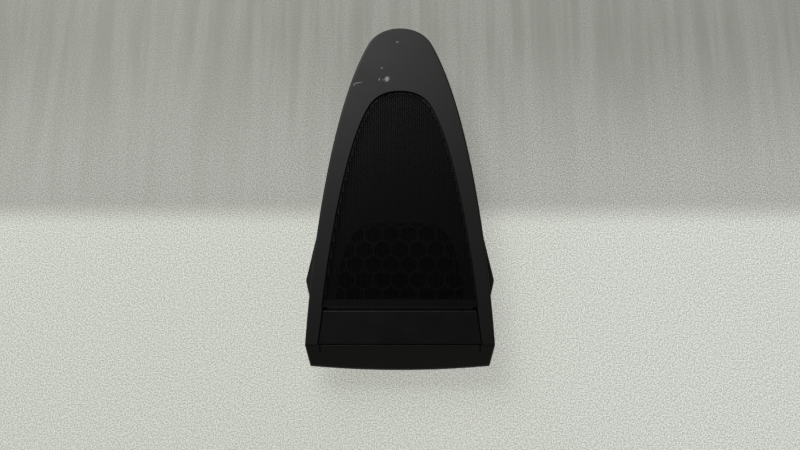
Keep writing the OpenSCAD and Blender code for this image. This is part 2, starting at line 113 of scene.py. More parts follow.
def curve(p, steps):
    return [bezier(p, i / steps) for i in range(steps)]


def dense(points, step):
    """The same open line with points no further apart than step."""
    out = []
    for a, b in zip(points, points[1:]):
        n = max(1, math.ceil(math.dist(a, b) / step))
        out += [(a[0] + (b[0] - a[0]) * i / n, a[1] + (b[1] - a[1]) * i / n) for i in range(n)]
    return out + [points[-1]]


def rounded(points, spots, radius, steps=6):
    """An open line with the corners named by index in spots rounded off."""
    out = []
    for i, p in enumerate(points):
        if i not in spots:
            out.append(p)
            continue
        a, b = points[i - 1], points[i + 1]
        la, lb = math.dist(a, p), math.dist(b, p)
        da, db = min(radius, la * 0.45), min(radius, lb * 0.45)
        start = (p[0] + (a[0] - p[0]) * da / la, p[1] + (a[1] - p[1]) * da / la)
        end = (p[0] + (b[0] - p[0]) * db / lb, p[1] + (b[1] - p[1]) * db / lb)
        for k in range(steps + 1):
            t = k / steps
            w = ((1 - t) ** 2, 2 * (1 - t) * t, t * t)
            out.append(tuple(w[0] * start[j] + w[1] * p[j] + w[2] * end[j] for j in (0, 1)))
    return out


def closed(half):
    """A mirror-symmetric loop in [x, y] from [half width, station], anticlockwise."""
    right = [(x, HALF_L - s) for x, s in half]
    left = [(-x, y) for x, y in reversed(right) if x > 1e-6]
    loop = right + left
    area = sum(a[0] * b[1] - b[0] * a[1] for a, b in zip(loop, loop[1:] + loop[:1]))
    return loop if area > 0 else loop[::-1]


def offset(loop, distances):
    """The loop moved to its left by each point's own distance."""
    out = []
    n = len(loop)
    for i in range(n):
        a, p, b = Vector(loop[i - 1]), Vector(loop[i]), Vector(loop[(i + 1) % n])
        d1, d2 = (p - a).normalized(), (b - p).normalized()
        n1, n2 = Vector((-d1.y, d1.x)), Vector((-d2.y, d2.x))
        m = (n1 + n2).normalized()
        out.append(tuple(p + m * distances[i] / max(m.dot(n1), 0.6)))
    return out


def fill(places, edges):
    """Triangles that fill the plan between closed loops, by the even-odd rule, as places' indices."""
    _, _, faces, origin, _, _ = delaunay_2d_cdt([Vector(p) for p in places], edges, [], 1, 1e-6)
    faces = [[origin[i][0] for i in f] for f in faces if all(origin[i] for i in f)]
    p = np.array(places, float)
    a, b = p[[e[0] for e in edges]], p[[e[1] for e in edges]]
    kept = []
    for f in faces:
        x, y = p[f].mean(0)
        spans = (a[:, 1] > y) != (b[:, 1] > y)
        u, v = a[spans], b[spans]
        cross = u[:, 0] + (y - u[:, 1]) * (v[:, 0] - u[:, 0]) / (v[:, 1] - u[:, 1])
        if (cross > x).sum() % 2:
            kept.append(f)
    return kept


# ---------------------------------------------------------------- mesh building
class Shape:
    """Points laid out flat as (x, y, minus the depth under the face), and faces between them."""

    def __init__(self):
        self.points = []
        self.faces = []

    def ring(self, loop, depths):
        first = len(self.points)
        self.points += [(p[0], p[1], -d) for p, d in zip(loop, depths)]
        return list(range(first, len(self.points)))

    def bridge(self, lower, upper):
        n = len(lower)
        for i in range(n):
            j = (i + 1) % n
            self.faces.append((lower[i], lower[j], upper[j], upper[i]))

    def cap(self, rings, up=True):
        """Fills the plan between the rings: the first is the outside, the others are holes."""
        index = [i for r in rings for i in r]
        edges = []
        start = 0
        for r in rings:
            edges += [(start + k, start + (k + 1) % len(r)) for k in range(len(r))]
            start += len(r)
        for f in fill([self.points[i][:2] for i in index], edges):
            f = [index[i] for i in f]
            self.faces.append(tuple(f if up else f[::-1]))

    def made(self, name, cuts=(), floor_z=None, weighted=True):
        """The object, cut along the stations in cuts and set on the curved face."""
        mesh = bpy.data.meshes.new(name)
        mesh.from_pydata(self.points, [], self.faces)
        bm = bmesh.new()
        bm.from_mesh(mesh)
        for s in cuts:
            bmesh.ops.bisect_plane(
                bm,
                geom=bm.verts[:] + bm.edges[:] + bm.faces[:],
                plane_co=(0, HALF_L - s, 0),
                plane_no=(0, 1, 0),
                dist=1e-4,
            )
        for v in bm.verts:
            z = face_z(HALF_L - v.co.y) + v.co.z
            if floor_z is not None:
                z = max(z, floor_z)
            v.co = Vector((v.co.x, v.co.y, z)) * MM
        bmesh.ops.recalc_face_normals(bm, faces=bm.faces[:])
        bm.to_mesh(mesh)
        bm.free()
        return finished(name, mesh, weighted=weighted)


def finished(name, mesh, sharp=38, weighted=True):
    o = bpy.data.objects.new(name, mesh)
    bpy.context.scene.collection.objects.link(o)
    mesh.shade_smooth()
    mesh.set_sharp_from_angle(angle=math.radians(sharp))
    if weighted:
        w = o.modifiers.new("weighted", "WEIGHTED_NORMAL")
        w.keep_sharp = True
    return o


def quarter(steps):
    """(inset, drop) of a quarter round as shares of its radius, from the wall to the face."""
    return [
        (1 - math.cos(k * math.pi / 2 / steps), 1 - math.sin(k * math.pi / 2 / steps))
        for k in range(steps + 1)
    ]


def edge_rings(shape, loop, reach, drop, profile, base=0.0):
    """Rings from the wall of a loop up to the face, each point with its own reach and drop."""
    rings = []
    for inset, down in profile:
        r = shape.ring(
            offset(loop, [inset * v for v in reach]),
            [base + down * v for v in drop],
        )
        if rings:
            shape.bridge(rings[-1], r)
        rings.append(r)
    return rings


CUTS = [8 * k for k in range(1, 40)] + [FOLD_S + 0.4 * k for k in range(-4, 5)] + [330, 335, 340]


# ---------------------------------------------------------------- bezel
def outline_loop():
    half_fold = OUTLINE_SIDE[3][0]
    corner = (half_fold - LIP_TAPER, END_S - LIP_BOW)
    side = curve(OUTLINE_NOSE, 22) + curve(OUTLINE_SIDE, 120) + [(half_fold, FOLD_S)]
    bow = [(corner[0] * (1 - k / 40), END_S - LIP_BOW * (1 - k / 40) ** 2) for k in range(41)]
    line = side + dense([(half_fold, FOLD_S), corner], 1.6)[1:-1] + bow
    at_corner = line.index(bow[0])
    return closed(rounded(line, {at_corner}, 1.9))


def opening_half():
    """Half of the opening for the grille and the cover, from the nose end to the slit's far side."""
    line = curve(GRILLE_NOSE, 26) + curve(GRILLE_SIDE, 110) + [GRILLE_SIDE[3]]
    at_bar, at_fold = COVER_OPENING_HALF_W
    line += dense([GRILLE_SIDE[3], (at_bar, BAR_END_S)], 0.8)[1:]
    line += dense([(at_bar, BAR_END_S), (at_fold, FOLD_S)], 1.5)[1:]
    near, far = SLIT_X
    chamfer = 0.2
    line += [(far, FOLD_S), (far, SLIT_END_S - chamfer), (far - chamfer, SLIT_END_S)]
    line += [(near + chamfer, SLIT_END_S), (near, SLIT_END_S - chamfer), (near, FOLD_S)]
    line += dense([(near, FOLD_S), (0, FOLD_S)], 2.5)[1:]
    return line


def edge_of(x, s):
    """(reach, drop, depth of the underside, reach of the recess) of the opening's edge at a point."""
    x = abs(x)
    if s > FOLD_S - 0.6:
        slit = SLIT_X[0] - 0.2 < x < SLIT_X[1] + 0.2
        return (0.1, 0.1, SHELL_T, 0.12) if slit else (0.35, 0.3, SHELL_T, 0.4)
    t = smoothstep(GRILLE_END_S - 2.5, BAR_END_S + 1.5, s)
    under = MESH_DROP - 0.1 if s < GRILLE_END_S + 0.6 else SHELL_T
    return (0.5, 0.5, under, 3.2 * (1 - t) + 0.65 * t)


def make_bezel():
    shape = Shape()
    outer = outline_loop()
    opening = closed(opening_half())[::-1]
    n_out = len(outer)
    top_out = edge_rings(shape, outer, [2.0] * n_out, [2.0] * n_out, quarter(7))
    facts = [edge_of(x, HALF_L - y) for x, y in opening]
    bevel = [
        (0.0, 1.0), (0.03, 0.86), (0.12, 0.69), (0.28, 0.48), (0.46, 0.3),
        (0.64, 0.155), (0.8, 0.055), (0.91, 0.012), (1.0, 0.0),
    ]
    top_in = edge_rings(
        shape, opening, [f[0] for f in facts], [f[1] for f in facts], bevel
    )
    shape.cap([top_out[-1], top_in[-1]])
    foot = shape.ring(outer, [SKIRT_H - 0.5] * n_out)
    foot_edge = shape.ring(offset(outer, [0.4] * n_out), [SKIRT_H] * n_out)
    inner_edge = shape.ring(offset(outer, [SKIRT_T] * n_out), [SKIRT_H] * n_out)
    inner_top = shape.ring(offset(outer, [SKIRT_T] * n_out), [SHELL_T] * n_out)
    walls = [inner_top, inner_edge, foot_edge, foot, top_out[0]]
    for a, b in zip(walls, walls[1:]):
        shape.bridge(a, b)
    lip = shape.ring(opening, [f[2] for f in facts])
    recess = shape.ring(offset(opening, [f[3] for f in facts]), [f[2] for f in facts])
    step = shape.ring(
        offset(opening, [f[3] + 0.02 for f in facts]), [SHELL_T] * len(facts)
    )
    for a, b in ((lip, top_in[0]), (recess, lip), (step, recess)):
        shape.bridge(a, b)
    shape.cap([inner_top, step], up=False)
    floor_z = face_z(END_S) - LIP_RETURN
    return shape.made("bezel_moulding", CUTS, floor_z)


def make_bar():
    """Cross bar between the grille and the lower cover."""
    bar = Shape()
    start, end = GRILLE_END_S + 0.05, BAR_END_S + 0.2
    box = [(0, start), (BAR_HALF_W, start), (BAR_HALF_W, end), (0, end)]
    box = rounded(box, {1, 2}, 0.3, 2)
    loop = closed([p for a, b in zip(box, box[1:]) for p in dense([a, b], 6)[:-1]] + [box[-1]])
    edge = [0.5] * len(loop)
    rings = edge_rings(bar, loop, edge, edge, quarter(4), 1.0)
    base = bar.ring(loop, [4.5] * len(loop))
    bar.bridge(base, rings[0])
    bar.cap([rings[-1]])
    bar.cap([base], up=False)
    return bar.made("bezel_bar")


def make_ledge():
    """Ledge under the cover's front edge and the slits, in two steps."""
    shape = Shape()
    half_w, bottom = 79.5, 4.0
    middle = FOLD_S + 0.1
    for s0, s1, top in ((FOLD_S - 3.4, middle, 2.9), (middle, FOLD_S + 8, SHELL_T - 0.1)):
        loop = closed(dense([(0, s0), (half_w, s0), (half_w, s1), (0, s1)], 4))
        upper = shape.ring(loop, [top] * len(loop))
        lower = shape.ring(loop, [bottom] * len(loop))
        shape.bridge(lower, upper)
        shape.cap([upper])
        shape.cap([lower], up=False)
    return shape.made("bezel_ledge", [FOLD_S + 0.4 * k for k in range(-4, 5)], weighted=False)


def make_bosses():
    """Screw bosses under the bezel's face, tubes standing on the carrier's plate."""
    foot_z, outer_r, bore_r, turns = 33.6, 3.3, 1.5, 28
    mesh = bpy.data.meshes.new("bezel_bosses")
    points, faces = [], []
    for x, s in ((20, 40), (55, 120), (65.5, 178), (76.2, 250), (79.5, 305)):
        for side in (-1, 1):
            first = len(points)
            head_z = face_z(s) - 2
            for r, z in ((outer_r, foot_z), (outer_r, head_z), (bore_r, head_z), (bore_r, foot_z)):
                for k in range(turns):
                    a = 2 * math.pi * k / turns
                    points.append((
                        (side * x + r * math.cos(a)) * MM,
                        (HALF_L - s + r * math.sin(a)) * MM,
                        z * MM,
                    ))
            for band in range(4):
                a, b = first + band * turns, first + (band + 1) % 4 * turns
                for k in range(turns):
                    j = (k + 1) % turns
                    faces.append((a + k, a + j, b + j, b + k))
    mesh.from_pydata(points, [], faces)
    return finished("bezel_bosses", mesh, weighted=False)


# ---------------------------------------------------------------- perforated grille
PITCH = 2.5
HOLE_R = 1.08
HOLE_ROW_S = 250.0
MARGIN = 0.9
BLANK_S = 282.2
SIDES = 7


def inside(loop, x, y):
    hit = False
    for a, b in zip(loop, loop[1:] + loop[:1]):
        if (a[1] > y) != (b[1] > y) and x < (b[0] - a[0]) * (y - a[1]) / (b[1] - a[1]) + a[0]:
            hit = not hit
    return hit


def make_grille():
    opening = closed(
        curve(GRILLE_NOSE, 14) + curve(GRILLE_SIDE, 40) + [GRILLE_SIDE[3]] + [(0, GRILLE_END_S)]
    )
    n = len(opening)
    limit = offset(opening, [MARGIN + HOLE_R] * n)
    rim_loop = [
        (x, max(y, HALF_L - GRILLE_END_S + 0.3)) for x, y in offset(opening, [-2.9] * n)
    ]
    points, faces = [], []
    corner_at = {}

    def top(x, y, down=0.0):
        points.append((x * MM, y * MM, (face_z(HALF_L - y) - MESH_DROP - down) * MM))
        return len(points) - 1

    def corner(x, y):
        """The sheet's two points at a corner, shared by the cells that meet there."""
        key = (round(x * 50), round(y * 50))
        if key not in corner_at:
            corner_at[key] = (top(x, y), top(x, y, MESH_T))
        return corner_at[key]

    column = PITCH * math.sqrt(3) / 2
    reach = PITCH / math.sqrt(3)
    edge_use = {}
    first_y = HALF_L - HOLE_ROW_S
    for i in range(-36, 37):
        for k in range(-25, 85):
            x, y = i * column, first_y + (k + 0.5 * (i % 2)) * PITCH
            if not inside(limit, x, y) or HALF_L - y > BLANK_S:
                continue
            around = [
                corner(x + reach * math.cos(a), y + reach * math.sin(a))
                for a in (math.pi / 3 * m for m in range(6))
            ]
            spots = [2 * math.pi * m / SIDES for m in range(SIDES)]
            ring_t = [top(x + HOLE_R * math.cos(a), y + HOLE_R * math.sin(a)) for a in spots]
            ring_b = [top(x + HOLE_R * math.cos(a), y + HOLE_R * math.sin(a), MESH_T) for a in spots]
            p = q = 0
            while p < 6 or q < SIDES:
                c0, c1 = around[p % 6], around[(p + 1) % 6]
                h0, h1 = q % SIDES, (q + 1) % SIDES
                if q >= SIDES or (p < 6 and (p + 0.5) / 6 <= (q + 0.5) / SIDES):
                    faces.append((c0[0], c1[0], ring_t[h0]))
                    faces.append((c1[1], c0[1], ring_b[h0]))
                    p += 1
                else:
                    faces.append((c0[0], ring_t[h1], ring_t[h0]))
                    faces.append((c0[1], ring_b[h0], ring_b[h1]))
                    q += 1
            for m in range(SIDES):
                j = (m + 1) % SIDES
                faces.append((ring_t[m], ring_t[j], ring_b[j], ring_b[m]))
            for m in range(6):
                a, b = around[m], around[(m + 1) % 6]
                key = (min(a[0], b[0]), max(a[0], b[0]))
                edge_use[key] = edge_use.get(key, 0) + 1
    border = [e for e, used in edge_use.items() if used == 1]
    under = {a: b for a, b in corner_at.values()}
    rim_t = [top(x, y) for x, y in rim_loop]
    rim_b = [top(x, y, MESH_T) for x, y in rim_loop]
    under.update(zip(rim_t, rim_b))
    index = rim_t + sorted({i for e in border for i in e})
    where = {v: k for k, v in enumerate(index)}
    flat = [(points[i][0] / MM, points[i][1] / MM) for i in index]
    edges = [(k, (k + 1) % len(rim_t)) for k in range(len(rim_t))]
    edges += [(where[a], where[b]) for a, b in border]
    for f in fill(flat, edges):
        a = [index[i] for i in f]
        faces += [tuple(a), tuple(under[i] for i in reversed(a))]
    for a, b in zip(range(len(rim_t)), list(range(1, len(rim_t))) + [0]):
        faces.append((rim_t[b], rim_t[a], rim_b[a], rim_b[b]))
    mesh = bpy.data.meshes.new("grille_sheet")
    mesh.from_pydata(points, [], faces)
    mesh.validate()
    return finished("grille_sheet", mesh, sharp=50, weighted=False)


# ---------------------------------------------------------------- lower cover
def make_cover():
    shape = Shape()
    (back, front), (back_w, front_w) = COVER_S, COVER_HALF_W
    half = rounded([(0, back), (back_w, back), (front_w, front), (0, front)], {1, 2}, 0.9, 4)
    line = [p for a, b in zip(half, half[1:]) for p in dense([a, b], 3)[:-1]] + [half[-1]]
    loop = closed(line)
    reach = [0.35 + 0.65 * smoothstep(-2.5, 0.0, y - (HALF_L - back - 0.1)) for _, y in loop]
    rings = edge_rings(shape, loop, reach, reach, quarter(6), 0.3)
    base = shape.ring(loop, [2.8] * len(loop))
    shape.bridge(base, rings[0])
    shape.cap([rings[-1]])
    shape.cap([base], up=False)
    cuts = [back + 4 * k for k in range(8)] + [FOLD_S - 0.4 * k for k in range(3, 6)]
    cover = shape.made("cover_moulding", cuts)

    points, faces = [], []

    def add(x0, x1, s0, s1, z0, z1):
        first = len(points)
        for x, s, z in (
            (x0, s1, z0), (x1, s1, z0), (x1, s0, z0), (x0, s0, z0),
            (x0, s1, z1), (x1, s1, z1), (x1, s0, z1), (x0, s0, z1),
        ):
            points.append((x * MM, (HALF_L - s) * MM, z * MM))
        sides = [(3, 2, 1, 0), (4, 5, 6, 7)]
        sides += [(k, (k + 1) % 4, (k + 1) % 4 + 4, k + 4) for k in range(4)]
        for f in sides:
            faces.append(tuple(first + i for i in f))

    foot_z, hook_z = 28.6, 30.9
    for s, way in ((back + 2.6, -1), (front - 3.4, 1)):
        hook_s = s + way * 0.5
        for x in (-30, 30):
            add(x - 5, x + 5, s - 0.8, s + 0.8, foot_z, face_z(s) - 2.5)
            add(x - 5, x + 5, hook_s - 1.3, hook_s + 1.3, foot_z, hook_z)
    mesh = bpy.data.meshes.new("cover_tabs")
    mesh.from_pydata(points, [], faces)
    tabs = finished("cover_tabs", mesh, weighted=False)
    edge = tabs.modifiers.new("edge", "BEVEL")
    edge.width = 0.25 * MM
    edge.segments = 2
    return cover, tabs


# ---------------------------------------------------------------- acoustic cloth
WINDOW_SIDE = [(23.7, 206), (52, 208), (59, 240), (61.4, 280.7)]
CELL_PITCH = 17.4
CELL_ROW = CELL_PITCH * math.sqrt(3) / 2
TWEETER_S = 247.7
CLOTH_RIM = 1.95
CLOTH_Z = 29.15
CLOTH_T = 0.3
CLOTH_SWELL = 0.25
POST_HOLE_R = 3.5


def swell(x, y):
    """How far the cloth bulges into the honeycomb cell over it: 1 in its middle, 0 under its ribs."""
    first = round((y - HALF_L + TWEETER_S) / CELL_ROW)
    nearest = CELL_PITCH
    for row in (first - 1, first, first + 1):
        shift = 0.5 * ((row + 1) % 2)
        column = round(x / CELL_PITCH - shift) + shift
        away = math.dist((x, y), (column * CELL_PITCH, HALF_L - TWEETER_S + row * CELL_ROW))
        nearest = min(nearest, away)
    return 0.5 + 0.5 * math.cos(math.pi * min(2 * nearest / CELL_PITCH, 1.0))


def make_cloth():
    """The cloth stretched under the honeycomb, and the flat area that it was cut to."""
    window = closed(curve(WINDOW_SIDE, 24) + [WINDOW_SIDE[3]])
    outline = offset(window, [-CLOTH_RIM] * len(window))
    outline = dense(outline + [outline[0]], 3)[:-1]
    posts = [
        (x * 1.5 * CELL_PITCH, HALF_L - TWEETER_S + y * CELL_ROW * 4 / 3)
        for x in (-1, 1)
        for y in (-1, 1)
    ]
    loops = [outline]
    for px, py in posts:
        turns = [math.pi * k / 12 for k in range(24)]
        loops.append([(px + POST_HOLE_R * math.cos(a), py + POST_HOLE_R * math.sin(a)) for a in turns])
    margin = offset(outline, [0.9] * len(outline))
    step = CELL_PITCH / 8
    spots = []
    for k in range(-45, 46):
        for i in range(-35, 36):
            x, y = (i + 0.5 * (k % 2)) * step, HALF_L - TWEETER_S + k * step * math.sqrt(3) / 2
            clear = all(math.dist((x, y), post) > POST_HOLE_R + 0.9 for post in posts)
            if clear and inside(margin, x, y):
                spots.append((x, y))
    flat, edges = [], []
    for loop in loops:
        first, n = len(flat), len(loop)
        edges += [(first + k, first + (k + 1) % n) for k in range(n)]
        flat += loop
    flat += spots
    under_cells = offset(window, [1.0] * len(window))
    lower = [
        (x, y, CLOTH_Z + (CLOTH_SWELL * swell(x, y) if inside(under_cells, x, y) else 0.0))
        for x, y in flat
    ]
    n = len(flat)
    points = lower + [(x, y, z + CLOTH_T) for x, y, z in lower]
    faces = []
    area = 0.0
    for a, b, c in fill(flat, edges):
        faces += [(c, b, a), (a + n, b + n, c + n)]
        side, other = Vector(flat[b]) - Vector(flat[a]), Vector(flat[c]) - Vector(flat[a])
        area += abs(side.cross(other)) / 2
    faces += [(a, b, b + n, a + n) for a, b in edges]
    mesh = bpy.data.meshes.new("cloth_sheet")
    mesh.from_pydata([Vector(p) * MM for p in points], [], faces)
    bm = bmesh.new()
    bm.from_mesh(mesh)
    bmesh.ops.recalc_face_normals(bm, faces=bm.faces[:])
    bm.to_mesh(mesh)
    bm.free()
    width = 2 * max(x for x, _ in outline)
    length = max(y for _, y in outline) - min(y for _, y in outline)
    return finished("cloth_sheet", mesh, weighted=False), (width * MM, length * MM), area * MM * MM


# ---------------------------------------------------------------- materials
def linear(level):
    c = level / 255
    return c / 12.92 if c <= 0.04045 else ((c + 0.055) / 1.055) ** 2.4


def rgb(r, g, b):
    return (linear(r), linear(g), linear(b), 1)


class Nodes:
    """A material's node tree, with short names for what the finishes here use."""

    def __init__(self, name):
        self.material = bpy.data.materials.new(name)
        self.material.use_nodes = True
        self.tree = self.material.node_tree
        self.shader = self.tree.nodes["Principled BSDF"]
        self.coords = self.tree.nodes.new("ShaderNodeTexCoord").outputs["Object"]

    def node(self, kind, **settings):
        n = self.tree.nodes.new(kind)
        for k, v in settings.items():
            setattr(n, k, v)
        return n

    def link(self, a, b):
        self.tree.links.new(a, b)

    def put(self, socket, value):
        if isinstance(value, bpy.types.NodeSocket):
            self.link(value, socket)
        else:
            socket.default_value = value

    def noise(self, scale, detail=3.0, rough=0.55, stretch=None):
        n = self.node("ShaderNodeTexNoise")
        n.inputs["Scale"].default_value = scale
        n.inputs["Detail"].default_value = detail
        n.inputs["Roughness"].default_value = rough
        if stretch:
            m = self.node("ShaderNodeMapping")
            m.inputs["Scale"].default_value = stretch
            self.link(self.coords, m.inputs["Vector"])
            self.link(m.outputs["Vector"], n.inputs["Vector"])
        else:
            self.link(self.coords, n.inputs["Vector"])
        return n.outputs["Fac"]

    def ranged(self, value, a, b, c, d):
        """The value's range from a to b, turned smoothly into c to d."""
        m = self.node("ShaderNodeMapRange", interpolation_type="SMOOTHSTEP")
        self.put(m.inputs["Value"], value)
        for name, v in (("From Min", a), ("From Max", b), ("To Min", c), ("To Max", d)):
            self.put(m.inputs[name], v)
        return m.outputs["Result"]

    def math(self, kind, a, b=0.0):
        m = self.node("ShaderNodeMath", operation=kind)
        self.put(m.inputs[0], a)
        self.put(m.inputs[1], b)
        return m.outputs[0]

    def mix(self, factor, a, b):
        m = self.node("ShaderNodeMix", data_type="RGBA")
        self.put(m.inputs["Factor"], factor)
        self.put(m.inputs[6], a)
        self.put(m.inputs[7], b)
        return m.outputs[2]

    def bump(self, height, distance, strength):
        b = self.node("ShaderNodeBump")
        b.inputs["Distance"].default_value = distance
        b.inputs["Strength"].default_value = strength
        self.link(height, b.inputs["Height"])
        return b.outputs["Normal"]

    def blot(self, x, y, long, wide, angle):
        """1 in the middle of a soft ellipse on the face, 0 outside it; sizes in millimetres."""
        m = self.node("ShaderNodeMapping", vector_type="TEXTURE")
        m.inputs["Location"].default_value = (x * MM, y * MM, 0)
        m.inputs["Rotation"].default_value = (0, 0, math.radians(angle))
        m.inputs["Scale"].default_value = (long * MM, wide * MM, 1)
        self.link(self.coords, m.inputs["Vector"])
        length = self.node("ShaderNodeVectorMath", operation="LENGTH")
        self.link(m.outputs["Vector"], length.inputs[0])
        return self.ranged(length.outputs["Value"], 0.25, 1.0, 1.0, 0.0)

    def done(self, colour, rough, normal=None, metal=0.0, specular=0.5, coat=0.0, coat_rough=0.3):
        s = self.shader.inputs
        self.put(s["Base Color"], colour)
        self.put(s["Roughness"], rough)
        s["Metallic"].default_value = metal
        s["Specular IOR Level"].default_value = specular
        s["Coat Weight"].default_value = coat
        s["Coat Roughness"].default_value = coat_rough
        if normal is not None:
            self.link(normal, s["Normal"])
        return self.material


def soft_touch():
    """Matt soft-touch paint: a fine even grain, faint handling sheen and a few old marks."""
    n = Nodes("soft_touch")
    grain = n.noise(2600, 2.0, 0.5)
    cloud = n.noise(22, 3.0, 0.6)
    dust = n.ranged(n.noise(900, 4.0, 0.7), 0.68, 0.8, 0.0, 1.0)
    colour = n.mix(cloud, rgb(9, 9, 8), rgb(12, 12, 11))
    colour = n.mix(n.math("MULTIPLY", dust, 0.12), colour, rgb(120, 120, 116))
    broken = n.ranged(n.noise(1500, 3, 0.7), 0.35, 0.6, 0.2, 1.0)
    marks = n.math("MULTIPLY", n.blot(-13.2, 116, 4.0, 3.1, 62), broken)
    for x, y, long, wide, angle, weight in (
        (-18.6, 128.2, 1.9, 0.8, 30, 0.55),
        (-21.0, 115.5, 2.2, 0.8, 75, 0.55),
        (-17.2, 115.0, 1.0, 0.9, 0, 0.5),
        (-2.8, 157.5, 1.9, 1.0, 10, 0.5),
        (-43.0, 111.65, 6.5, 0.55, 12.4, 0.6),
        (-46.5, 109.5, 2.4, 0.5, 60, 0.5),
    ):
        mark = n.math("MULTIPLY", n.blot(x, y, long, wide, angle), weight)
        marks = n.math("MAXIMUM", marks, mark)
    colour = n.mix(n.math("MULTIPLY", marks, 0.85), colour, rgb(165, 165, 162))
    rough = n.ranged(cloud, 0.3, 0.7, 0.52, 0.56)
    rough = n.math("SUBTRACT", rough, n.math("MULTIPLY", marks, 0.12))
    normal = n.bump(grain, 0.00005, 0.35)
    return n.done(colour, rough, normal, specular=0.25)


def moulded(
    name, level, tint=(0, 0, 0), rough=0.45, grain=1400, depth=0.00003, specular=0.5, wear=6
):
    """Moulded or cast plastic with a spark-eroded grain."""
    n = Nodes(name)
    cloud = n.noise(35, 3.0, 0.6)
    fine = n.noise(grain, 3.0, 0.6)
    low = rgb(*[max(level + t - wear / 2, 1) for t in tint])
    high = rgb(*[level + t + wear / 2 for t in tint])
    r = n.ranged(cloud, 0.3, 0.7, rough - 0.04, rough + 0.05)
    return n.done(n.mix(cloud, low, high), r, n.bump(fine, depth, 0.5), specular=specular)


def carrier_plastic():
    """Black glass-filled plastic with painted shade: darker under the grille and bezel, paler where it
    stands out beside the bezel.
    """
    n = Nodes("carrier_black")
    place = n.node("ShaderNodeSeparateXYZ")
    n.link(n.coords, place.inputs[0])
    # painted shade: the plastic is darker inboard, under the grille and bezel, than where it stands
    # out beside the bezel
    unshaded_beside_bezel = n.ranged(n.math("ABSOLUTE", place.outputs["X"]), 0.074, 0.079, 0.0, 1.0)
    cloud = n.noise(35, 3.0, 0.6)
    painted_shade_tone = n.mix(cloud, rgb(16, 16, 16), rgb(21, 21, 21))
    unshaded_tone = n.mix(cloud, rgb(26, 26, 27), rgb(31, 31, 32))
    colour = n.mix(unshaded_beside_bezel, painted_shade_tone, unshaded_tone)
    rough = n.ranged(cloud, 0.3, 0.7, 0.46, 0.55)
    return n.done(colour, rough, n.bump(n.noise(1400, 3.0, 0.6), 0.00003, 0.5), specular=0.1)


def metal(name, r, g, b, rough=0.3, brushed=(1, 1, 1), spots=0.0):
    """Bare or plated metal with fine drawing lines or a faint mottle."""
    n = Nodes(name)
    cloud = n.noise(120, 3.0, 0.6)
    lines = n.noise(500, 3.0, 0.6, brushed)
    dull = tuple(c * 0.72 for c in rgb(r, g, b)[:3]) + (1,)
    colour = n.mix(cloud, dull, rgb(r, g, b))
    if spots:
        specks = n.ranged(n.noise(700, 4, 0.7), 0.6, 0.72, 0, 1)
        colour = n.mix(n.math("MULTIPLY", specks, spots), colour, rgb(70, 62, 52))
    roughness = n.ranged(lines, 0.3, 0.7, rough - 0.06, rough + 0.1)
    return n.done(colour, roughness, n.bump(lines, 0.00001, 0.4), metal=1.0)


def foam(name, level, cell=900):
    """Open-cell foam: pits of uneven size, painted darker as the shade in them."""
    n = Nodes(name)
    cells = n.node("ShaderNodeTexVoronoi", feature="F1")
    cells.inputs["Scale"].default_value = cell
    n.link(n.coords, cells.inputs["Vector"])
    pits = n.ranged(cells.outputs["Distance"], 0.1, 0.6, 1.0, 0.0)
    skin = rgb(level + 14, level + 14, level + 15)
    # painted shade: the pits are darker than the foam's skin
    colour = n.mix(pits, skin, rgb(level // 2, level // 2, level // 2))
    return n.done(colour, 0.9, n.bump(n.math("SUBTRACT", 1.0, pits), 0.0003, 0.8), specular=0.2)


def felt(name, level):
    """Needled felt: crossed hairs."""
    n = Nodes(name)
    a = n.noise(700, 4.0, 0.7, (6, 1, 1))
    b = n.noise(700, 4.0, 0.7, (1, 6, 1))
    hair = n.math("MAXIMUM", a, b)
    low = rgb(level - 8, level - 8, level - 6)
    high = rgb(level + 16, level + 16, level + 18)
    colour = n.mix(n.ranged(hair, 0.4, 0.75, 0, 1), low, high)
    n.shader.inputs["Sheen Weight"].default_value = 0.3
    return n.done(colour, 0.95, n.bump(hair, 0.0002, 0.8), specular=0.1)


def woven(name, level, pitch=0.32):
    """Doped fabric of the dome and its surround: two crossed threads under a lacquer."""
    n = Nodes(name)
    waves = []
    for axis in ("X", "Y"):
        w = n.node("ShaderNodeTexWave", wave_type="BANDS", bands_direction=axis)
        w.inputs["Scale"].default_value = 2 * math.pi / (20 * pitch * MM)
        w.inputs["Distortion"].default_value = 0.4
        w.inputs["Detail"].default_value = 1.0
        n.link(n.coords, w.inputs["Vector"])
        waves.append(w.outputs["Fac"])
    weave = n.math("MULTIPLY", waves[0], waves[1])
    low = rgb(level - 6, level - 6, level - 6)
    colour = n.mix(weave, low, rgb(level + 12, level + 12, level + 14))
    rough = n.ranged(weave, 0, 1, 0.55, 0.38)
    return n.done(colour, rough, n.bump(weave, 0.00004, 0.6), coat=0.15, coat_rough=0.35)


def woven_cloth():
    """Open-weave acoustic cloth."""
    n = Nodes("cloth_black")
    warp = n.noise(900, 2.0, 0.6, (5, 1, 1))
    threads = n.math("MAXIMUM", warp, n.noise(900, 2.0, 0.6, (1, 5, 1)))
    colour = n.mix(n.ranged(threads, 0.4, 0.7, 0, 1), rgb(2, 2, 2), rgb(7, 7, 7))
    return n.done(colour, 0.95, n.bump(threads, 0.0001, 0.6), specular=0.03)


def painted_sheet():
    """Black powder-coated steel of the grille."""
    n = Nodes("grille_black")
    peel = n.noise(1100, 3.0, 0.5)
    cloud = n.noise(30, 2.0, 0.5)
    colour = n.mix(cloud, rgb(6, 6, 6), rgb(9, 9, 9))
    rough = n.ranged(peel, 0.3, 0.7, 0.44, 0.52)
    return n.done(colour, rough, n.bump(peel, 0.00002, 0.4), specular=0.1)


